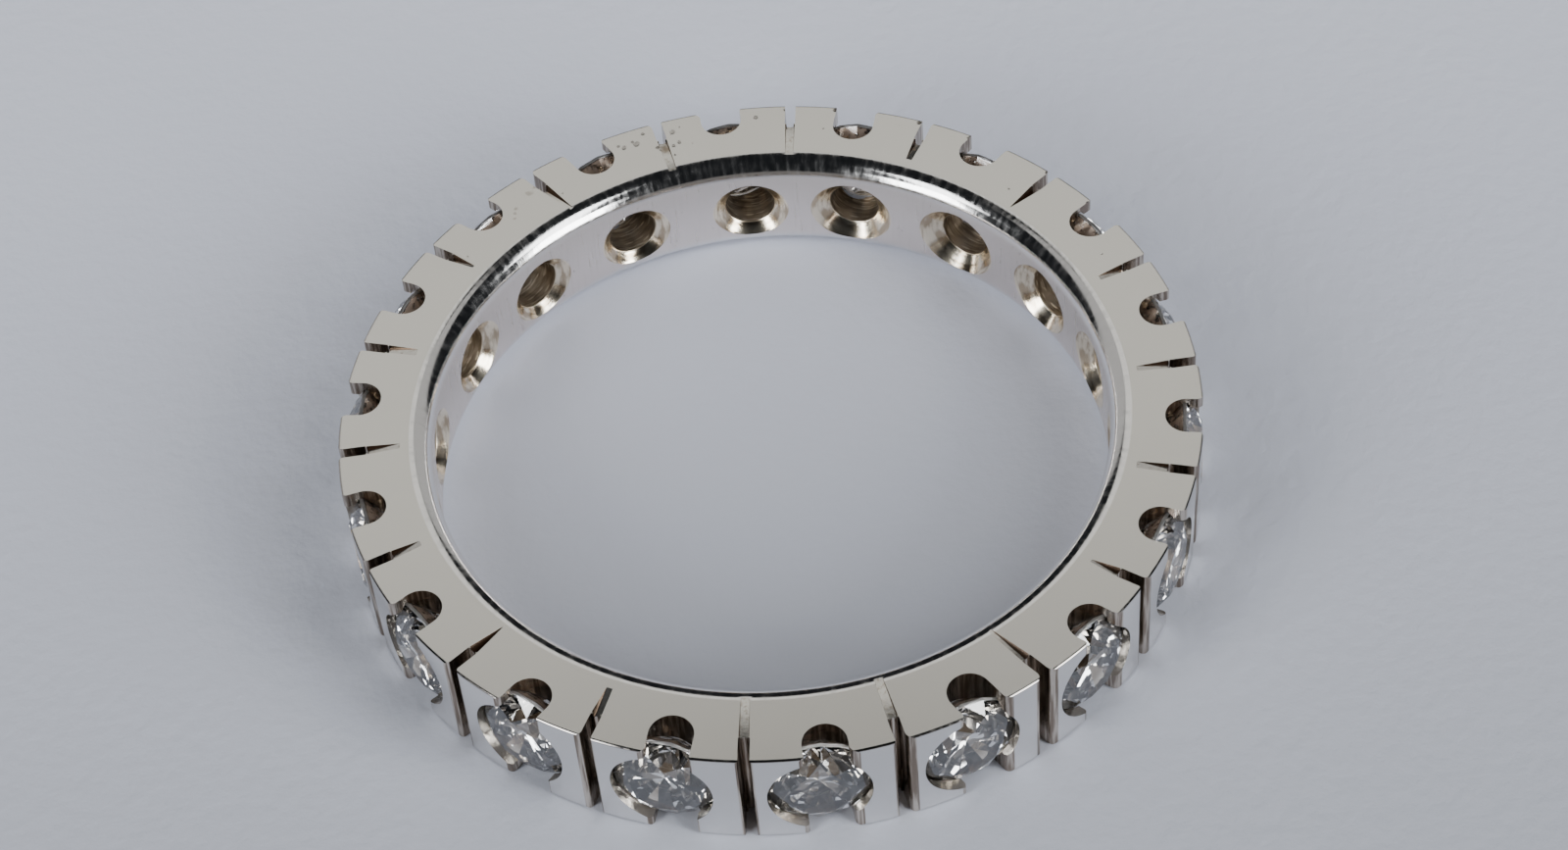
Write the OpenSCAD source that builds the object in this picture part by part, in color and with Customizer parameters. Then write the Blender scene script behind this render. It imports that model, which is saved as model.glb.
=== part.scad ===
// Full eternity ring, lying on its side with its axis along Z.
// The origin is on the axis, at the side face that the ring rests on.
// Stone 1 is at +Y, and the stones are counted clockwise as seen from above.

/* [Finger] */
// Diameter of the finger hole
finger_d = 17; // [14:0.25:22]
// Radius that eases the two inner edges
comfort_r = 0.55; // [0.35:0.05:0.6]

/* [Band] */
// Width of the band, measured along the finger
band_w = 3; // [2.6:0.05:3.3]
// Thickness of the band, from the finger hole to the tops of the tabs
band_t = 2.3; // [2.2:0.05:2.8]
// Radius of the two outer edges
rim_r = 0.06; // [0.04:0.01:0.12]

/* [Stones] */
// Metal left between a stone and each side face
side_wall = 0.13; // [0.1:0.01:0.25]
// Least gap between two neighbouring stones
stone_gap = 0.8; // [0.7:0.05:1.4]
// Width of the table facet as a share of the stone's diameter
table_share = 0.57; // [0.53:0.01:0.62]
// Angle of the main crown facets
crown_angle = 34.5; // [32:0.5:36]
// Angle of the main pavilion facets
pavilion_angle = 40.75; // [39:0.25:42]
// Thickness of the girdle where the main facets meet it
girdle_t = 0.08; // [0.06:0.01:0.12]
// Distance of the table facets below the tops of the tabs
table_drop = 0.02; // [0:0.01:0.1]

/* [Setting] */
// Clearance round each stone in its seat
seat_gap = 0.03; // [0.02:0.01:0.05]
// Reach of the tab tips over the edge of each stone
tip_reach = 0.12; // [0.05:0.01:0.2]
// Width of the rounded notch beside each stone
notch_w = 1.08; // [0.8:0.02:1.4]
// Depth of the notch below the tops of the tabs
notch_depth = 1; // [0.8:0.02:1.1]
// Width of the saw slot between two stones
slot_w = 0.28; // [0.2:0.02:0.36]
// Depth of the saw slot below the tops of the tabs
slot_depth = 0.76; // [0.6:0.02:1]
// Radius of the outer corners of the tabs
tab_corner_r = 0.13; // [0.06:0.01:0.16]

/* [Holes behind the stones] */
// Diameter of the drilled hole
hole_d = 1.32; // [1:0.02:1.4]
// Diameter of its countersunk mouth on the inner wall
mouth_d = 1.95; // [1.6:0.05:2]
// Angle of the countersink
mouth_angle = 84; // [70:2:100]
// Distance of the holes below the middle of the band
hole_drop = 0.12; // [0:0.02:0.16]

/* [Hidden] */
// The ring was cut by hand, so its cuts stray a little from their even places. Each table has
// one row for each stone and starts again when it runs out. A place is a share of the angle
// between stones, clockwise. A lean is in degrees, clockwise going outwards. The other columns
// are shares of the named sizes that they follow.
// Notch: place, depth, lean, corner before it, corner after it
NOTCHES = [
    [-0.06, 0.94,   0, 1.7, 0.9],
    [-0.06, 1.17,  -2, 0.4, 1.1],
    [-0.06, 1.00,   7, 0.4, 1.2],
    [ 0.03, 1.08,  -6, 0.6, 1.2],
    [ 0.03, 1.02,  -2, 0.8, 1.0],
    [ 0.03, 0.96,   0, 1.2, 1.0],
    [ 0.01, 0.98,  -3, 1.2, 1.0],
    [-0.04, 0.94,  -8, 1.5, 0.8],
    [-0.07, 1.17, -10, 1.5, 0.9],
];
// Slot: place, lean, corner before it, corner after it
SLOTS = [
    [-0.04, -2, 0.5, 0.5],
    [-0.03, -2, 0.4, 1.1],
    [ 0.00,  2, 1.0, 1.0],
    [ 0.05, -2, 1.0, 1.0],
    [ 0.05, -2, 1.0, 1.0],
    [ 0.02, -3, 1.0, 0.8],
    [ 0.01, -3, 1.2, 0.8],
    [-0.03, -7, 1.5, 1.3],
    [-0.03,  1, 1.6, 0.5],
];
// Groove below the slot: depth at its foot, reach towards the inner edge, width of its floor
GROOVES = [
    [0.30, 1.25, 0.8],
    [0.60, 0.75, 0.6],
    [0.90, 0.90, 0.1],
    [0.50, 0.70, 0.6],
    [0.40, 0.80, 0.6],
    [0.35, 0.75, 0.8],
    [0.60, 0.70, 0.3],
    [0.55, 1.20, 0.3],
    [0.35, 1.45, 0.8],
];
// Hole: place, mouth
HOLES = [
    [ 0.10, 0.95], [ 0.02, 1.04], [ 0.06, 1.07], [ 0.08, 1.00], [ 0.03, 1.00],
    [-0.02, 0.96], [ 0.05, 0.96], [ 0.00, 0.92], [ 0.02, 0.92],
];

function row(table, i) = table[i % len(table)];

finger_r = finger_d / 2;
rim_radius = finger_r + band_t;
mid_z = band_w / 2;

stone_d = band_w - 2 * side_wall;
stone_r = stone_d / 2;
table_r = stone_r * table_share;
crown_h = (stone_r - table_r) * tan(crown_angle);
pavilion_h = stone_r * tan(pavilion_angle);
// Radius of the circle on which the middles of the girdles lie
girdle_radius = rim_radius - table_drop - crown_h - girdle_t / 2;

stone_count = floor(180 / asin((stone_d + stone_gap) / 2 / girdle_radius));
pitch = 360 / stone_count;

function two_digits(n) = n < 10 ? str("0", n) : str(n);
function stone_name(i) = str("stone_", two_digits(i + 1));

// How far a cutter runs past the surface that it cuts
over = 0.5;
// Share of a rounded corner's radius at which its middle stands in from the surfaces beside it
corner_share = 0.97;

// Turns from +Y, clockwise as seen from above, to a place counted in stones
module at_place(place) {
    rotate(-place * pitch) children();
}

// Stands a shape that was drawn along Z outwards along +Y, with its base on the axis
module outwards() {
    rotate([-90, 0, 0]) children();
}

// One half of the band's cross-section. The two side faces are flat, the inner edges are eased
// and the outer edges are just broken.
module band_section() {
    translate([finger_r + comfort_r, 0]) square([band_t - comfort_r - rim_r, band_w]);
    translate([finger_r, comfort_r]) square([band_t, band_w - 2 * comfort_r]);
    translate([finger_r + band_t / 2, rim_r]) square([band_t / 2, band_w - 2 * rim_r]);
    for (z = [comfort_r, band_w - comfort_r])
        translate([finger_r + comfort_r, z]) circle(comfort_r, $fn = 64);
    for (z = [rim_r, band_w - rim_r])
        translate([rim_radius - rim_r, z]) circle(rim_r, $fn = 32);
}

// Straight-sided cut in the rim's outline that leans about its pivot.
// The corners that it leaves on the tabs, before and after it, are rounded.
module rim_cut(pivot, lean, half_w, corners) {
    // The ring's axis as the leaning cut sees it
    axis = [pivot * sin(lean), -pivot * cos(lean)];
    translate([0, pivot]) rotate(-lean) {
        translate([-half_w, 0]) square([2 * half_w, rim_radius - pivot + over]);
        for (k = [0, 1]) {
            corner_r = tab_corner_r * corners[k];
            inset = corner_r * corner_share;
            x = (half_w + inset) * (k == 0 ? -1 : 1);
            y = axis.y + sqrt((rim_radius - inset) ^ 2 - (x - axis.x) ^ 2);
            outward = ([x, y] - axis) / (rim_radius - inset);
            difference() {
                polygon([[0, y], [x, y], [x, y] + outward * (corner_r + over), [0, y + over]]);
                translate([x, y]) circle(corner_r, $fn = 32);
            }
        }
    }
}

// Rounded notch beside stone i, through the whole width of the band
module notch(i) {
    cut = row(NOTCHES, i);
    floor_r = notch_w / 2;
    pivot = rim_radius - notch_depth * cut[1] + floor_r;
    at_place(i + cut[0]) {
        rim_cut(pivot, cut[2], floor_r * corner_share, [cut[3], cut[4]]);
        translate([0, pivot]) circle(floor_r, $fn = 64);
    }
}

// Saw slot after stone i, through the whole width of the band
module slot(i) {
    cut = row(SLOTS, i);
    at_place(i + 0.5 + cut[0])
        rim_cut(rim_radius - slot_depth, cut[1], slot_w / 2, [cut[2], cut[3]]);
}

// Groove that leads slot i down the upper side face. It is nearly as wide as the slot where it
// leaves the slot's foot, and its floor climbs to the face on the way to the inner edge.
module groove(i) {
    cut = row(SLOTS, i);
    groove = row(GROOVES, i);
    half_w = slot_w * 0.46;
    depth = slot_w * groove[0];
    run = (band_t - comfort_r - slot_depth) * groove[1];
    floor_half_w = half_w * groove[2];
    top_half_w = 2 * half_w - floor_half_w;
    slope = atan(depth / run);
    past = slot_w / 8;
    at_place(i + 0.5 + cut[0]) translate([0, rim_radius - slot_depth, 0]) rotate(-cut[1])
        translate([0, -run, band_w]) rotate([-90 - slope, 0, 0])
            linear_extrude((run + past) / cos(slope))
                polygon([[-floor_half_w, 0], [floor_half_w, 0],
                         [top_half_w, -2 * depth], [-top_half_w, -2 * depth]]);
}

// Seat of stone i, opening outwards.
// It follows the stone with a clearance, and the tab tips reach over the edge of the crown.
module seat(i) {
    r = stone_r + seat_gap;
    tip = stone_r - tip_reach;
    low = -girdle_t / 2;
    high = girdle_t / 2 + seat_gap;
    tip_z = high + (r - tip) * tan(crown_angle);
    at_place(i) translate([0, girdle_radius, mid_z]) outwards()
        rotate_extrude($fn = 64)
            polygon([[0, low - r * tan(pavilion_angle)], [r, low], [r, high], [tip, tip_z],
                     [tip, crown_h + over], [0, crown_h + over]]);
}

// Drilled and countersunk hole behind stone i
module hole(i) {
    drill_r = hole_d / 2;
    mouth_r = mouth_d / 2 * row(HOLES, i)[1];
    flare = tan(mouth_angle / 2);
    mouth_y = sqrt(finger_r ^ 2 - mouth_r ^ 2);
    at_place(i + row(HOLES, i)[0]) translate([0, 0, mid_z - hole_drop]) outwards()
        rotate_extrude($fn = 64)
            polygon([[0, mouth_y - over], [mouth_r + over * flare, mouth_y - over],
                     [drill_r, mouth_y + (mouth_r - drill_r) / flare],
                     [drill_r, girdle_radius], [0, girdle_radius]]);
}

// Ring blank with the holes drilled through it from the outside and countersunk inside
module drilled_blank() {
    difference() {
        rotate_extrude($fn = 180) band_section();
        for (i = [0 : stone_count - 1]) hole(i);
    }
}

// Drilled blank with the seats cut
module seated_blank() {
    difference() {
        drilled_blank();
        for (i = [0 : stone_count - 1]) seat(i);
    }
}

// Shank, seats and tabs, cut from one piece of white metal
module band() {
    color("gainsboro")
    difference() {
        seated_blank();
        translate([0, 0, -over]) linear_extrude(band_w + 2 * over)
            for (i = [0 : stone_count - 1]) {
                notch(i);
                slot(i);
            }
        for (i = [0 : stone_count - 1]) {
            groove(i);
            translate([0, 0, band_w]) mirror([0, 0, 1]) groove(i);
        }
    }
}

// Round brilliant, drawn about Z with the middle of its girdle at the origin.
// Both ends have eight main facets. The crown has star and upper girdle facets round its table,
// and the pavilion has lower girdle facets that run most of the way to its point.
module brilliant() {
    // Angle between two main facets
    main_angle = 360 / 8;
    // Angle between two corners of the girdle
    girdle_angle = main_angle / 4;
    star_r = (table_r + stone_r) / 2;
    lower_r = stone_r * 0.23;
    edge = girdle_t / 2;
    star_z = edge + (stone_r - star_r * cos(main_angle / 2)) * tan(crown_angle);
    lower_z = -edge - (stone_r - lower_r * cos(main_angle / 2)) * tan(pavilion_angle);

    function corner(r, turn, z) = [r * cos(turn), r * sin(turn), z];
    // Eight corners round the stone
    function eight(r, z, turn) = [for (k = [0 : 7]) corner(r, main_angle * k + turn, z)];
    // Height where the plane of two girdle facets crosses the girdle between the main facets
    function dip(r, z, z_main) =
        let (near = stone_r * cos(girdle_angle))
        z_main + (z - z_main) * (near - stone_r) / (near - r * cos(girdle_angle));
    // Thirty-two corners round the girdle, at the main facets' height and at the dip's by turns
    function girdle(z_main, z_dip) =
        [for (k = [0 : 31]) corner(stone_r, girdle_angle * k, k % 2 == 0 ? z_main : z_dip)];

    points = concat(
        eight(table_r, edge + crown_h, 0),
        eight(star_r, star_z, main_angle / 2),
        girdle(edge, dip(star_r, star_z, edge)),
        girdle(-edge, dip(lower_r, lower_z, -edge)),
        eight(lower_r, lower_z, main_angle / 2),
        [[0, 0, -edge - pavilion_h]]
    );
    // Where each row of corners starts in the list of points
    table = 0;
    star = table + 8;
    top = star + 8;
    bottom = top + 32;
    lower = bottom + 32;
    point = lower + 8;

    faces = concat(
        [[for (k = [7 : -1 : 0]) table + k]],
        [for (k = [0 : 7]) [table + k, table + (k + 1) % 8, star + k]],
        [for (k = [0 : 7]) [table + k, star + k, top + 4 * k, star + (k + 7) % 8]],
        [for (k = [0 : 7]) for (a = [4 * k, 4 * k + 2])
            [star + k, top + (a + 2) % 32, top + a + 1, top + a]],
        [for (k = [0 : 31]) [top + k, top + (k + 1) % 32, bottom + (k + 1) % 32, bottom + k]],
        [for (k = [0 : 7]) for (a = [4 * k, 4 * k + 2])
            [lower + k, bottom + a, bottom + a + 1, bottom + (a + 2) % 32]],
        [for (k = [0 : 7]) [point, lower + (k + 7) % 8, bottom + 4 * k, lower + k]]
    );
    polyhedron(points, faces);
}

// Stone i in its seat, each turned a little differently about its own axis
module stone(i) {
    turn_angle = 17;
    color("aliceblue")
    at_place(i) translate([0, girdle_radius, mid_z]) outwards() rotate(i * turn_angle) brilliant();
}

band();
for (i = [0 : stone_count - 1])
    stone(i);
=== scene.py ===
import math

import bpy
from mathutils import Matrix, Vector


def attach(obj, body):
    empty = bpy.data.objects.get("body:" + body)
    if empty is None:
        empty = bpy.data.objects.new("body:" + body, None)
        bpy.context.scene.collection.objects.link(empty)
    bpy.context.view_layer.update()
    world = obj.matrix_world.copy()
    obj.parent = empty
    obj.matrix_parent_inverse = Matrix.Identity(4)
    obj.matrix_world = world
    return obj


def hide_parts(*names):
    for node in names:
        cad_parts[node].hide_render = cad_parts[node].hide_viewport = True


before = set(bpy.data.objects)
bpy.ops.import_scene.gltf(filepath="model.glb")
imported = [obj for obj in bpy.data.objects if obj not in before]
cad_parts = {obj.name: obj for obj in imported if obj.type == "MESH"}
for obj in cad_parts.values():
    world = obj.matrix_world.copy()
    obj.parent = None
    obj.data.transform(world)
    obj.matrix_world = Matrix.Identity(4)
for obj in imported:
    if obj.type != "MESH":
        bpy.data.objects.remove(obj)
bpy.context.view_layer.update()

# The band
# A shank of 18 carat white gold, turned to its section and then drilled, seated, notched and
# sawn by hand. The tabs left between the cuts are pushed over the stones, and everything is
# polished, so the flats, the eased inner edges and the countersinks all shine.
MM = 0.001
TURN = 2 * math.pi
FINGER_R = 8.5
BAND_T = 2.3
BAND_W = 3.0
COMFORT_R = 0.55
RIM_R = 0.06
RIM_RADIUS = FINGER_R + BAND_T
MID_Z = BAND_W / 2
STONES = 18
PITCH = TURN / STONES
STEPS_ROUND_BAND = 360
MERGE_GAP = 0.001 * MM


def nothing_selected():
    if bpy.context.mode != "OBJECT":
        bpy.ops.object.mode_set(mode="OBJECT")
    bpy.ops.object.select_all(action="DESELECT")


def only(piece):
    nothing_selected()
    piece.select_set(True)
    bpy.context.view_layer.objects.active = piece


def outline(name, points):
    """A flat face with its corners at these points, in millimetres."""
    nothing_selected()
    bpy.ops.mesh.primitive_circle_add(vertices=len(points), radius=MM, fill_type="NGON")
    piece = bpy.context.object
    piece.name = name
    for corner, point in zip(piece.data.vertices, points):
        corner.co = Vector(point) * MM
    return piece


def arc(x, y, r, start, end, steps):
    """Points on an arc, with its angles in degrees."""
    angles = [math.radians(start + (end - start) * k / steps) for k in range(steps + 1)]
    return [(x + r * math.cos(a), y + r * math.sin(a)) for a in angles]


def turned(piece, steps, axis):
    """Turns the outline's edge round the axis through the origin into a closed surface."""
    only(piece)
    bpy.ops.object.mode_set(mode="EDIT")
    bpy.ops.mesh.select_all(action="SELECT")
    bpy.ops.mesh.delete(type="ONLY_FACE")
    bpy.ops.mesh.select_all(action="SELECT")
    bpy.ops.mesh.spin(steps=steps, angle=TURN, center=(0, 0, 0), axis=axis)
    bpy.ops.mesh.select_all(action="SELECT")
    bpy.ops.mesh.remove_doubles(threshold=MERGE_GAP)
    bpy.ops.mesh.delete_loose()
    bpy.ops.mesh.select_all(action="SELECT")
    bpy.ops.mesh.normals_make_consistent(inside=False)
    bpy.ops.object.mode_set(mode="OBJECT")


class Wire:
    """A socket in a finish. Sums with it add Math nodes."""

    def __init__(self, finish, socket):
        self.finish, self.socket = finish, socket

    def __getitem__(self, name):
        return Wire(self.finish, self.socket.node.outputs[name])

    def sum(self, operation, *values):
        return self.finish.node("ShaderNodeMath", {"operation": operation}, dict(enumerate(values)))

    def __add__(self, other):
        return self.sum("ADD", self, other)

    def __radd__(self, other):
        return self.sum("ADD", other, self)

    def __sub__(self, other):
        return self.sum("SUBTRACT", self, other)

    def __rsub__(self, other):
        return self.sum("SUBTRACT", other, self)

    def __mul__(self, other):
        return self.sum("MULTIPLY", self, other)

    def __rmul__(self, other):
        return self.sum("MULTIPLY", other, self)

    def __truediv__(self, other):
        return self.sum("DIVIDE", self, other)

    def __pow__(self, other):
        return self.sum("POWER", self, other)

    def __abs__(self):
        return self.sum("ABSOLUTE", self)


class Finish:
    """The nodes of one material."""

    def __init__(self, name):
        self.material = bpy.data.materials.new(name)
        self.material.use_nodes = True
        self.tree = self.material.node_tree
        self.tree.nodes.clear()

    def node(self, kind, settings=None, sockets=None):
        made = self.tree.nodes.new(kind)
        for key, value in (settings or {}).items():
            setattr(made, key, value)
        for key, value in (sockets or {}).items():
            if isinstance(value, Wire):
                self.tree.links.new(value.socket, made.inputs[key])
            else:
                made.inputs[key].default_value = value
        return Wire(self, made.outputs[0])

    def spot(self):
        """Place on the ring, in millimetres."""
        place = self.node("ShaderNodeTexCoord")["Object"]
        return self.node("ShaderNodeVectorMath", {"operation": "SCALE"}, {0: place, "Scale": 1 / MM})

    def split(self, vector):
        parts = self.node("ShaderNodeSeparateXYZ", {}, {0: vector})
        return parts["X"], parts["Y"], parts["Z"]

    def vector(self, x, y, z=0.0):
        return self.node("ShaderNodeCombineXYZ", {}, {0: x, 1: y, 2: z})

    def place(self, x, y):
        """Place round the ring, counted in stones."""
        return self.node("ShaderNodeMath", {"operation": "ARCTAN2"}, {0: x, 1: y}) / PITCH

    def distance(self, spot, point):
        return self.node("ShaderNodeVectorMath", {"operation": "DISTANCE"}, {0: spot, 1: point})["Value"]

    def noise(self, vector, scale=1.0, detail=2.0):
        return self.node("ShaderNodeTexNoise", {}, {"Vector": vector, "Scale": scale, "Detail": detail})

    def step(self, value, low, high):
        """0 below low, 1 above high and a smooth climb between."""
        return self.node("ShaderNodeMapRange", {"interpolation_type": "SMOOTHSTEP"},
                         {"Value": value, "From Min": low, "From Max": high})

    def blend(self, mask, first, second):
        """Colour that goes from the first to the second with the mask."""
        return self.node("ShaderNodeMix", {"data_type": "RGBA"}, {0: mask, 6: first, 7: second})[2]

    def bump(self, height, depth):
        """Normal of a surface whose height of 1 stands so many millimetres high."""
        return self.node("ShaderNodeBump", {}, {"Height": height, "Distance": depth * MM})

    def shader(self, **sockets):
        sockets = {name.replace("_", " "): value for name, value in sockets.items()}
        return self.node("ShaderNodeBsdfPrincipled", {}, sockets)

    def metal(self, colour, roughness, normal):
        self.surface(self.shader(Base_Color=colour, Metallic=1.0, Roughness=roughness, Normal=normal))

    def surface(self, shader):
        output = self.tree.nodes.new("ShaderNodeOutputMaterial")
        self.tree.links.new(shader.socket, output.inputs["Surface"])


# Marks on the side face that lies uppermost, some of them nicks at the corners of the tabs
# Mark: place, distance from the ring's axis, size
PITS = [
    (-0.43, 10.29, 0.08), (-0.41, 9.85, 0.05), (0.20, 10.38, 0.06), (-0.72, 10.20, 0.085),
    (-0.82, 10.22, 0.075), (-0.645, 10.51, 0.05), (-0.74, 10.33, 0.04), (-0.85, 10.33, 0.035),
    (-0.37, 10.42, 0.02), (1.28, 10.42, 0.02), (2.35, 9.62, 0.02), (-1.45, 9.55, 0.02),
    (-0.31, 9.72, 0.018), (0.72, 9.94, 0.015), (-2.42, 9.70, 0.02), (3.35, 9.83, 0.02),
    (-0.58, 9.87, 0.05), (-0.46, 9.79, 0.05), (-0.565, 9.73, 0.035), (-0.47, 9.43, 0.03),
]
NICKS = [
    (0.79, 10.68, 0.075), (1.41, 10.70, 0.065), (1.81, 10.68, 0.08), (2.46, 10.71, 0.05),
    (2.88, 10.66, 0.055), (-0.50, 10.60, 0.035), (0.415, 10.62, 0.03),
]
SMUDGES = [
    (-1.65, 10.14, 0.09), (-1.58, 10.23, 0.06), (-1.82, 9.92, 0.05), (-1.86, 9.80, 0.045),
    (-1.90, 9.68, 0.04), (-0.565, 9.84, 0.10), (-0.55, 9.70, 0.05),
]


def on_upper_face(place, radius):
    return (radius * math.sin(place * PITCH), radius * math.cos(place * PITCH), BAND_W)


def marks(finish, spot, grain, table, fray, edge):
    """1 on the marks of the table, with borders frayed by the grain, and 0 beside them."""
    found = 0.0
    for place, radius, size in table:
        near = finish.distance(spot, on_upper_face(place, radius))
        found = (1 - finish.step(near + (grain - 0.5) * fray, size * 0.4, size * edge)) + found
    return found


def white_gold():
    """Polished and worn: the flats are satin, the eased edges bright, the inner wall rubbed."""
    gold = Finish("white_gold_polished")
    spot = gold.spot()
    x, y, z = gold.split(spot)
    reach = (x * x + y * y) ** 0.5
    place = gold.place(x, y)
    height = abs(z - MID_Z)
    flats = gold.step(height, MID_Z - 0.0025, MID_Z - 0.0005)
    wall = (1 - gold.step(height, MID_Z - COMFORT_R, MID_Z - COMFORT_R + 0.25)) * (
        1 - gold.step(reach, FINGER_R + 0.1, FINGER_R + 0.2))
    edges = (1 - flats) * (1 - wall)
    # Mask of the rounded outer rim of the side faces, which gets a painted dark reflection
    rim_painted_dark = gold.step(height, MID_Z - RIM_R, MID_Z - RIM_R * 0.5) * gold.step(
        reach, RIM_RADIUS - RIM_R, RIM_RADIUS - RIM_R * 0.6)

    grain = gold.noise(spot, 9, 4)
    cloud = gold.noise(spot, 0.8, 3)
    # Rubbing marks run across the inner wall and over its eased edges
    streaks = gold.noise(gold.vector(place * 30, z * 0.7, reach * 0.5), 1, 3)
    fine_streaks = gold.noise(gold.vector(place * 90, z * 2, reach), 1, 2)
    hazy = gold.noise(gold.vector(place * 22, z * 2.5, reach * 2.5), 1, 3)
    pits = marks(gold, spot, grain, PITS, 0.12, 1.25)
    nicks = marks(gold, spot, grain, NICKS, 0.12, 1.25)
    smudges = marks(gold, spot, grain, SMUDGES, 0.15, 1.5)
    specks = gold.step(gold.noise(spot, 6, 1), 0.74, 0.8)

    colour = gold.blend(flats, (0.80, 0.79, 0.78, 1), (0.79, 0.77, 0.722, 1))
    # Painted reflection: the rounded outer rim is coloured dark, standing in for the dim room mirrored in
    # it
    colour = gold.blend(rim_painted_dark * 0.7, colour, (0.30, 0.27, 0.24, 1))
    colour = gold.blend(wall, colour, (0.83, 0.765, 0.735, 1))
    # Painted shade: the inner wall is coloured darker and warmer towards its top
    colour = gold.blend(wall * gold.step(z, 1.0, 2.7) * 0.7, colour, (0.66, 0.60, 0.55, 1))
    colour = gold.blend(wall * gold.step(streaks, 0.5, 0.75) * 0.35, colour, (0.60, 0.56, 0.54, 1))
    colour = gold.blend(wall * specks * 0.5, colour, (0.25, 0.22, 0.20, 1))
    colour = gold.blend(cloud * 0.16 * flats, colour, (0.62, 0.60, 0.55, 1))
    colour = gold.blend(smudges * flats * 0.5, colour, (0.36, 0.32, 0.27, 1))
    colour = gold.blend(pits * flats * 0.42, colour, (0.17, 0.145, 0.12, 1))
    colour = gold.blend(nicks * flats * 0.9, colour, (0.12, 0.10, 0.08, 1))
    roughness = flats * 0.14 + wall * (streaks * 0.16 + 0.06) + edges * (hazy - 0.42) * 0.4 + 0.11
    rise = (grain * 0.12 * flats + streaks * wall * 1.4 + fine_streaks * (1 - flats) * 0.15
            + hazy * edges * 1.3 - (pits * 4 + nicks * 6) * flats)
    gold.metal(colour, roughness, gold.bump(rise, 0.0016))
    return gold


# Section of the blank, standing on the XZ plane
section = (arc(FINGER_R + COMFORT_R, COMFORT_R, COMFORT_R, 180, 270, 12)
           + arc(RIM_RADIUS - RIM_R, RIM_R, RIM_R, 270, 360, 4)
           + arc(RIM_RADIUS - RIM_R, BAND_W - RIM_R, RIM_R, 0, 90, 4)
           + arc(FINGER_R + COMFORT_R, BAND_W - COMFORT_R, COMFORT_R, 90, 180, 12))
band = outline("band_polished", [(x, 0, z) for x, z in section])
turned(band, STEPS_ROUND_BAND, (0, 0, 1))
band.data.materials.append(white_gold().material)

# Stones and their seats share these sizes
STONE_R = 1.37
GIRDLE_T = 0.08
TABLE_SHARE = 0.57
CROWN = math.tan(math.radians(34.5))
PAVILION = math.tan(math.radians(40.75))
CROWN_H = STONE_R * (1 - TABLE_SHARE) * CROWN
TABLE_DROP = 0.02
GIRDLE_RADIUS = RIM_RADIUS - TABLE_DROP - CROWN_H - GIRDLE_T / 2

# Holes, drilled from the outside and countersunk inside. The mouth's lip is worn round.
# The ring was cut by hand, so these and the other cuts stray from their even places. Each table
# has one row for each stone and starts again when it runs out. A place is a share of the angle
# between stones, clockwise.
HOLE_R = 0.66
MOUTH_R = 0.975
FLARE = math.tan(math.radians(42))
HOLE_Z = MID_Z - 0.12
STEPS_ROUND_HOLE = 72
# How far a cutter runs past the surface that it cuts
OVER = 0.5
# Lip of a mouth: distance out from its edge, distance up from its plane
LIP = [(0.16, -0.045), (0.07, 0.0), (0.0, 0.05), (-0.05, 0.1)]
# Hole: place, mouth
HOLES = [
    (0.10, 0.95), (0.02, 1.04), (0.06, 1.07), (0.08, 1.00), (0.03, 1.00),
    (-0.02, 0.96), (0.05, 0.96), (0.00, 0.92), (0.02, 0.92),
]


def placed(piece, place):
    """Turns a piece from +Y, clockwise as seen from above, to a place counted in stones."""
    piece.data.transform(Matrix.Rotation(-place * PITCH, 4, "Z") @ piece.matrix_world)
    piece.matrix_world = Matrix.Identity(4)


def cut(piece, cutters, finish):
    """Cuts the joined cutters out of the piece and clears them away. The cuts take the finish."""
    nothing_selected()
    for cutter in cutters:
        cutter.data.materials.append(finish.material)
        cutter.select_set(True)
    bpy.context.view_layer.objects.active = cutters[0]
    bpy.ops.object.join()
    cutter = bpy.context.object
    only(piece)
    bpy.ops.object.modifier_add(type="BOOLEAN")
    step = piece.modifiers[-1]
    step.operation, step.solver, step.object = "DIFFERENCE", "EXACT", cutter
    step.material_mode = "TRANSFER"
    bpy.ops.object.modifier_apply(modifier=step.name)
    bpy.data.objects.remove(cutter)


def hole_cutter(i):
    place, mouth = HOLES[i % len(HOLES)]
    mouth_r = MOUTH_R * mouth
    mouth_y = math.sqrt(FINGER_R ** 2 - mouth_r ** 2)
    points = [(0, mouth_y - OVER), (mouth_r + 2 * OVER, mouth_y - OVER)]
    points += [(mouth_r + out, mouth_y + up) for out, up in LIP]
    points += [(HOLE_R, mouth_y + (mouth_r - HOLE_R) / FLARE), (HOLE_R, GIRDLE_RADIUS),
               (0, GIRDLE_RADIUS)]
    cutter = outline("hole_cutter", [(x, y, 0) for x, y in points])
    turned(cutter, STEPS_ROUND_HOLE, (0, 1, 0))
    across = cutter.data.uv_layers[0]
    for loop in cutter.data.loops:
        corner = cutter.data.vertices[loop.vertex_index].co / MM
        across.data[loop.index].uv = (corner.x, corner.z)
    cutter.location.z = HOLE_Z * MM
    bpy.context.view_layer.update()
    placed(cutter, i + place)
    return cutter


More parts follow.
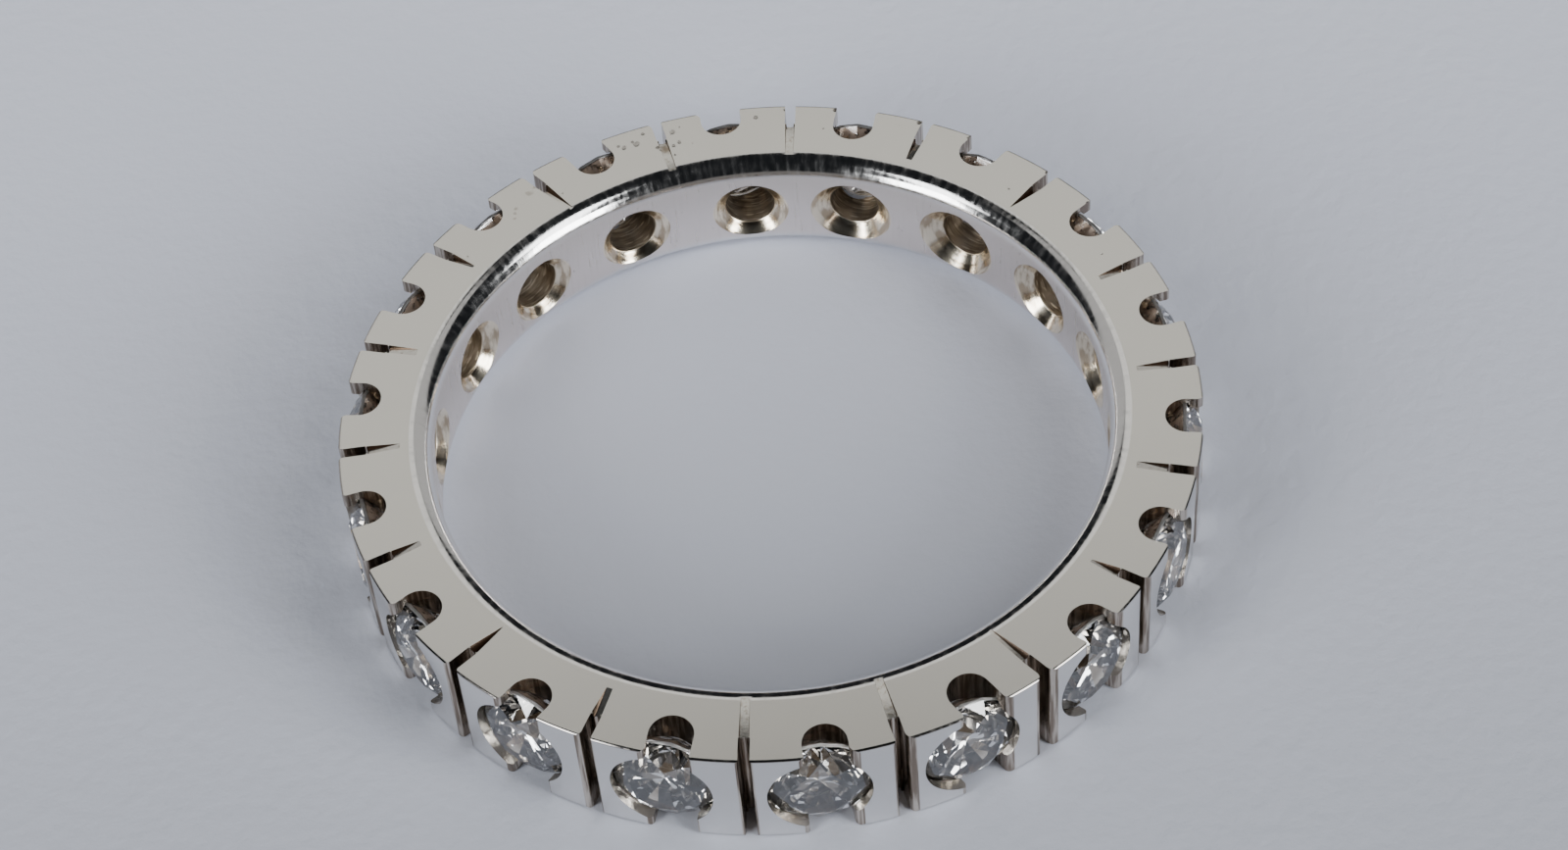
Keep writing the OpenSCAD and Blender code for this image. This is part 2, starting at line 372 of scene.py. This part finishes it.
def hole_metal():
    """Fine rings of the drill and the countersink round the hole's axis, and a dull dark bore."""
    metal = Finish("hole_drilled")
    across, along, _ = metal.split(metal.node("ShaderNodeUVMap", {"uv_map": "UVMap"}))
    x, y, _ = metal.split(metal.spot())
    out = (across * across + along * along) ** 0.5
    reach = (x * x + y * y) ** 0.5
    cosine, sine = across / out, along / out
    depth = out * 1.3 + reach
    rings = metal.noise(metal.vector(cosine * 1.1, sine * 1.1, depth * 14), 1, 3)
    arcs = metal.noise(metal.vector(cosine * 1.5 + 7, sine * 1.5, depth * 15), 1, 1)
    lines = metal.step(arcs, 0.56, 0.66)
    bore = 1 - metal.step(out, HOLE_R + 0.004, HOLE_R + 0.03)
    cone = metal.blend(metal.step(rings, 0.4, 0.56), (0.50, 0.41, 0.30, 1), (0.92, 0.83, 0.67, 1))
    dull = metal.blend(metal.step(rings, 0.4, 0.62), (0.40, 0.33, 0.25, 1), (0.58, 0.50, 0.40, 1))
    dull = metal.blend(lines * 0.7, dull, (0.95, 0.88, 0.76, 1))
    metal.metal(metal.blend(bore, cone, dull), bore * (0.22 - lines * 0.1) + rings * 0.16 + 0.1,
                metal.bump(rings * (1 - bore * 0.6) + lines * bore * 0.4, 0.01))
    return metal


cut(band, [hole_cutter(i) for i in range(STONES)], hole_metal())

# Seats, cut with a burr of the stone's shape. The tab tips reach over the crown's edge.
SEAT_GAP = 0.03
TIP_REACH = 0.12
STEPS_ROUND_SEAT = 96
seat_r = STONE_R + SEAT_GAP
seat_high = GIRDLE_T / 2 + SEAT_GAP
tip_r = STONE_R - TIP_REACH


def copied(piece, place):
    twin = piece.copy()
    twin.data = piece.data.copy()
    bpy.context.collection.objects.link(twin)
    placed(twin, place)
    return twin


seat = outline("seat_cutter", [(x, GIRDLE_RADIUS + y, 0) for x, y in [
    (0, -GIRDLE_T / 2 - seat_r * PAVILION), (seat_r, -GIRDLE_T / 2), (seat_r, seat_high),
    (tip_r, seat_high + (seat_r - tip_r) * CROWN), (tip_r, CROWN_H + OVER), (0, CROWN_H + OVER)]])
turned(seat, STEPS_ROUND_SEAT, (0, 1, 0))
seat.location.z = MID_Z * MM
bpy.context.view_layer.update()
seats = [copied(seat, i) for i in range(STONES)]
bpy.data.objects.remove(seat)
seat_metal = Finish("seat_cut")
seat_metal.metal((0.62, 0.57, 0.50, 1), 0.25,
                 seat_metal.bump(seat_metal.noise(seat_metal.spot(), 12, 2), 0.002))
cut(band, seats, seat_metal)

# Notches and saw slots, through the whole width. A lean is in degrees, clockwise going outwards,
# and the other columns are shares of the sizes that they follow.
NOTCH_R = 0.54
NOTCH_DEPTH = 1.0
SLOT_W = 0.28
SLOT_DEPTH = 0.76
TAB_CORNER_R = 0.13
# Height at which the sides of a slot go over into its hollow floor
SLOT_FLOOR = 0.05
# Notch: place, depth, lean, corner before it, corner after it
NOTCHES = [
    (-0.06, 0.94, 0, 1.7, 0.9),
    (-0.06, 1.17, -2, 0.4, 1.1),
    (-0.06, 1.00, 7, 0.4, 1.2),
    (0.03, 1.08, -6, 0.6, 1.2),
    (0.03, 1.02, -2, 0.8, 1.0),
    (0.03, 0.96, 0, 1.2, 1.0),
    (0.01, 0.98, -3, 1.2, 1.0),
    (-0.04, 0.94, -8, 1.5, 0.8),
    (-0.07, 1.17, -10, 1.5, 0.9),
]
# Slot: place, lean, corner before it, corner after it
SLOTS = [
    (-0.04, -2, 0.5, 0.5),
    (-0.03, -2, 0.4, 1.1),
    (0.00, 2, 1.0, 1.0),
    (0.05, -2, 1.0, 1.0),
    (0.05, -2, 1.0, 1.0),
    (0.02, -3, 1.0, 0.8),
    (0.01, -3, 1.2, 0.8),
    (-0.03, -7, 1.5, 1.3),
    (-0.03, 1, 1.6, 0.5),
]


def raised(piece, way):
    """Extrudes the outline's face that way, in millimetres, into a closed prism."""
    only(piece)
    bpy.ops.object.mode_set(mode="EDIT")
    bpy.ops.mesh.select_all(action="SELECT")
    bpy.ops.mesh.extrude_region_move(TRANSFORM_OT_translate={"value": Vector(way) * MM})
    bpy.ops.mesh.select_all(action="SELECT")
    bpy.ops.mesh.normals_make_consistent(inside=False)
    bpy.ops.object.mode_set(mode="OBJECT")


def rim_cutter(name, place, pivot, lean, half_w, corners, floor):
    """Prism of a cut that leans about its pivot, with the tabs' corners rounded beside it."""
    turn = -math.radians(lean)
    axis = Vector((-pivot * math.sin(turn), -pivot * math.cos(turn)))
    sides = []
    for side, share in ((-1, corners[0]), (1, corners[1])):
        corner_r = TAB_CORNER_R * share
        x = side * (half_w + corner_r)
        y = axis.y + math.sqrt((RIM_RADIUS - corner_r) ** 2 - (x - axis.x) ** 2)
        out = math.degrees(math.atan2(y - axis.y, x - axis.x))
        start = 180 if side > 0 else 0
        round_corner = arc(x, y, corner_r, start, out, 7)
        way = Vector((x, y)) - axis
        round_corner.append(tuple(axis + way.normalized() * (RIM_RADIUS + OVER)))
        sides.append(round_corner)
    cutter = outline(name, [(x, y, 0) for x, y in floor + sides[1] + sides[0][::-1]])
    raised(cutter, (0, 0, BAND_W + 2 * OVER))
    cutter.data.transform(Matrix.Translation((0, pivot * MM, -OVER * MM))
                          @ Matrix.Rotation(turn, 4, "Z"))
    placed(cutter, place)
    return cutter


def notch_cutter(i):
    place, depth, lean, before, after = NOTCHES[i % len(NOTCHES)]
    pivot = RIM_RADIUS - NOTCH_DEPTH * depth + NOTCH_R
    floor = arc(0, 0, NOTCH_R, 180, 360, 20)
    return rim_cutter("notch_cutter", i + place, pivot, lean, NOTCH_R, (before, after), floor)


def slot_cutter(i):
    place, lean, before, after = SLOTS[i % len(SLOTS)]
    half_w = SLOT_W / 2
    floor = [(-half_w, SLOT_FLOOR)] + arc(0, half_w, half_w, 210, 330, 6) + [(half_w, SLOT_FLOOR)]
    pivot = RIM_RADIUS - SLOT_DEPTH
    return rim_cutter("slot_cutter", i + 0.5 + place, pivot, lean, half_w, (before, after), floor)


sawn = Finish("notch_sawn")
x, y, z = sawn.split(sawn.spot())
strokes = sawn.noise(sawn.vector(x * 12, y * 12, z * 0.8), 1, 3)
sawn.metal(sawn.blend(sawn.step(strokes, 0.4, 0.65), (0.26, 0.21, 0.17, 1), (0.66, 0.60, 0.53, 1)),
           0.22, sawn.bump(strokes, 0.004))
cut(band, [notch_cutter(i) for i in range(STONES)] + [slot_cutter(i) for i in range(STONES)], sawn)

# Grooves that a file left down both side faces from each slot. One has dirt at its foot.
# Groove: depth at its foot, reach towards the inner edge, width of its floor
GROOVES = [
    (0.30, 1.25, 0.8),
    (0.60, 0.75, 0.6),
    (0.90, 0.90, 0.1),
    (0.50, 0.70, 0.6),
    (0.40, 0.80, 0.6),
    (0.35, 0.75, 0.8),
    (0.60, 0.70, 0.3),
    (0.55, 1.20, 0.3),
    (0.35, 1.45, 0.8),
]
# Half width of a groove at its foot, as a share of the slot's width
GROOVE_SHARE = 0.46
STAIN = (-0.52, 9.80)


def groove_cutter(i, upper):
    place, lean = SLOTS[i % len(SLOTS)][:2]
    deep, reach, floor = GROOVES[i % len(GROOVES)]
    run = (BAND_T - COMFORT_R - SLOT_DEPTH) * reach
    half_w = SLOT_W * GROOVE_SHARE
    depth = SLOT_W * deep
    past = SLOT_W / 8
    top_half_w = half_w * (2 - floor)
    cutter = outline("groove_cutter", [
        (-half_w * floor, -run, 0), (half_w * floor, -run, 0),
        (top_half_w, -run, 2 * depth), (-top_half_w, -run, 2 * depth)])
    raised(cutter, (0, run + past, -depth * (run + past) / run))
    cutter.data.transform(Matrix.Rotation(math.radians(-lean), 4, "Z"))
    cutter.data.transform(Matrix.Translation((0, (RIM_RADIUS - SLOT_DEPTH) * MM, BAND_W * MM)))
    if not upper:
        cutter.data.transform(Matrix.Translation((0, 0, BAND_W * MM)) @ Matrix.Scale(-1, 4, (0, 0, 1)))
        cutter.data.flip_normals()
    placed(cutter, i + 0.5 + place)
    return cutter


filed = Finish("groove_filed")
spot = filed.spot()
rough = filed.noise(spot, 10, 3)
_, _, upright = filed.split(filed.node("ShaderNodeNewGeometry")["True Normal"])
# Painted shade: the steep walls of each groove are coloured dark brown
dark = 1 - filed.step(abs(upright), 0.45, 0.8)
near = filed.distance(spot, on_upper_face(*STAIN))
stain = 1 - filed.step(near + (rough - 0.5) * 0.25, 0.08, 0.28)
floor_colour = filed.blend(filed.step(rough, 0.5, 0.75), (0.75, 0.73, 0.68, 1), (0.55, 0.50, 0.43, 1))
floor_colour = filed.blend(stain * 0.85, floor_colour, (0.25, 0.19, 0.13, 1))
filed.metal(filed.blend(dark, floor_colour, (0.20, 0.14, 0.10, 1)), 0.25, filed.bump(rough, 0.002))
cut(band, [groove_cutter(i, upper) for i in range(STONES) for upper in (True, False)], filed)

only(band)
bpy.ops.object.mode_set(mode="EDIT")
bpy.ops.mesh.select_all(action="SELECT")
bpy.ops.mesh.remove_doubles(threshold=MERGE_GAP)
bpy.ops.object.mode_set(mode="OBJECT")
bpy.ops.object.shade_smooth_by_angle(angle=math.radians(28))

# The side faces were rubbed flat last, so their borders are crisp
bpy.ops.object.mode_set(mode="EDIT")
bpy.ops.mesh.select_mode(type="FACE")
bpy.ops.mesh.select_all(action="DESELECT")
bpy.ops.object.mode_set(mode="OBJECT")
for face in band.data.polygons:
    face.select = abs(face.normal.z) > 0.9999 and abs(abs(face.center.z / MM - MID_Z) - MID_Z) < 0.001
bpy.ops.object.mode_set(mode="EDIT")
bpy.ops.mesh.region_to_loop()
bpy.ops.mesh.mark_sharp()
bpy.ops.mesh.select_mode(type="VERT")
bpy.ops.object.mode_set(mode="OBJECT")

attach(band, "root")
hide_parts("band")

# The stones
# Eighteen round brilliants of one size, their polished facets flat and their girdles left
# grey from the grinding. Each drops into its seat from outside and is held by four tab tips.
diamond = Finish("brilliant_polished")
spot = diamond.spot()
x, y, z = diamond.split(spot)
turn = diamond.node("ShaderNodeMath", {"operation": "ROUND"}, {0: diamond.place(x, y)}) * PITCH
sine, cosine = turn.sum("SINE", turn), turn.sum("COSINE", turn)
outwards = x * sine + y * cosine
sideways = ((x * cosine - y * sine) ** 2 + (z - MID_Z) ** 2) ** 0.5
ground = 1 - diamond.step(abs(outwards - GIRDLE_RADIUS), GIRDLE_T * 0.55, GIRDLE_T * 0.65)
back = 1 - diamond.step(outwards, GIRDLE_RADIUS - GIRDLE_T, GIRDLE_RADIUS - GIRDLE_T / 2)
# Less light comes through the point, which stands over the dark hole
point = back * (1 - diamond.step(sideways, 0.5, 0.8))
# The back of each stone is tinted brown: partly grime, partly a painted reflection of the seat metal
# behind it
tint = diamond.blend(back, (1, 1, 1, 1), (0.86, 0.79, 0.72, 1))
tint = diamond.blend(point, tint, (0.30, 0.24, 0.18, 1))
clear = diamond.shader(
    Base_Color=diamond.blend(ground, tint, (0.62, 0.58, 0.55, 1)), Roughness=ground * 0.5,
    IOR=2.417, Transmission_Weight=1.0)
# Dirt clings to the back of the stones where the notches lay it open
dust = diamond.noise(spot, 7, 3)
film_colour = diamond.blend(dust, (0.16, 0.11, 0.08, 1), (0.48, 0.38, 0.31, 1))
film = diamond.shader(Base_Color=film_colour, Roughness=0.35, Metallic=0.4)
in_notch = diamond.step(abs(z - MID_Z), 0.85, 1.1)
mask = back * in_notch * diamond.step(dust, 0.3, 0.5) * 0.8
diamond.surface(diamond.node("ShaderNodeMixShader", {}, {0: mask, 1: clear, 2: film}))
for i in range(STONES):
    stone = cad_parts[f"stone_{i + 1:02d}"]
    stone.data.materials.clear()
    stone.data.materials.append(diamond.material)

# The paper
# A plain sheet of white paper that the ring lies on, with painted shade that darkens its colour
# towards the viewer. It lies a hundredth of a millimetre below the ring.
nothing_selected()
bpy.ops.mesh.primitive_plane_add(size=1.2, location=(0, 0, -0.01 * MM))
floor = bpy.context.object
floor.name = "paper"
paper = Finish("white_paper")
spot = paper.spot()
fibres = paper.noise(spot, 2.2, 4)
tone = paper.noise(spot, 0.06, 2)
_, y, _ = paper.split(spot)
# Painted shade: the paper is coloured darker near the viewer and keeps its own colour far off
painted_shade_ramp = paper.step(y, -18, 22)
colour = paper.blend(tone, (0.75, 0.78, 0.90, 1), (0.785, 0.81, 0.92, 1))
paper.surface(paper.shader(
    Base_Color=paper.blend(1 - painted_shade_ramp, colour, (0.49, 0.51, 0.575, 1)), Roughness=0.9,
    Normal=paper.bump(fibres, 0.03)))
floor.data.materials.append(paper.material)

# The light
# A dim room with a pale wall behind the ring, two tall windows in front of it to the left and
# to the right, and a low pale sheet at the viewer's side.
world = bpy.data.worlds.new("room")
bpy.context.scene.world = world
world.use_nodes = True
room = world.node_tree.nodes["Background"].inputs
room["Color"].default_value = (0.8, 0.88, 1.0, 1)
room["Strength"].default_value = 0.015
LIGHT_OFF = 0.5
DAYLIGHT = (0.96, 0.98, 1.0)


def soft_light(name, azimuth, span, low, high, radiance, colour):
    """Upright sheet of light, as wide as its span of azimuth and between two elevations.
    Azimuth 0 is in front of the ring and 90 to its right."""
    turn = math.radians(azimuth)
    way = Vector((math.sin(turn), -math.cos(turn), 0))
    bottom, top = (LIGHT_OFF * math.tan(math.radians(angle)) for angle in (low, high))
    lamp = bpy.data.lights.new(name, "AREA")
    lamp.shape, lamp.size_y = "RECTANGLE", top - bottom
    lamp.size = 2 * LIGHT_OFF * math.tan(math.radians(span / 2))
    lamp.energy = radiance * math.pi * lamp.size * lamp.size_y
    lamp.color = colour
    holder = bpy.data.objects.new(name, lamp)
    bpy.context.collection.objects.link(holder)
    holder.location = way * LIGHT_OFF + Vector((0, 0, (bottom + top) / 2))
    holder.rotation_euler = way.to_track_quat("Z", "Y").to_euler()


soft_light("back_wall", 180, 50, 36, 56, 0.92, (1.0, 0.985, 0.94))
soft_light("back_wall_left", 222, 32, 3, 60, 0.5, (1.0, 0.985, 0.96))
soft_light("back_wall_right", 138, 32, 3, 60, 0.5, (1.0, 0.985, 0.96))
soft_light("right_window", 54, 27, 3, 33, 12.5, DAYLIGHT)
soft_light("right_window_top", 66, 28, 33, 63, 6, DAYLIGHT)
soft_light("left_window", -56, 24, 6, 33, 12, DAYLIGHT)
soft_light("left_window_top", -68, 22, 33, 58, 6, DAYLIGHT)
soft_light("front_sheet", 0, 74, -0.5, 16, 0.17, (1.0, 0.93, 0.88))

# The camera
# A close-up lens, fitted to the marks on the ring's far side.
view = bpy.data.cameras.new("view")
holder = bpy.data.objects.new("view", view)
bpy.context.collection.objects.link(holder)
bpy.context.scene.camera = holder
view.lens, view.sensor_width = 79.18, 36
view.clip_start, view.clip_end = 0.001, 10
ELEVATION, DISTANCE, ROLL, TURNED = 49.01, 89.64, -5.28, -2.12
back = Vector((0, -math.cos(math.radians(ELEVATION)), math.sin(math.radians(ELEVATION))))
target = Vector((0.34, 1.97, 0))
across = Vector((0, 0, 1)).cross(back).normalized()
up = back.cross(across)
roll = math.radians(ROLL)
across, up = (math.cos(roll) * across + math.sin(roll) * up, math.cos(roll) * up - math.sin(roll) * across)
pose = Matrix((across, up, back)).transposed().to_4x4()
pose.translation = (target + back * DISTANCE) * MM
holder.matrix_world = Matrix.Rotation(math.radians(TURNED), 4, "Z") @ pose
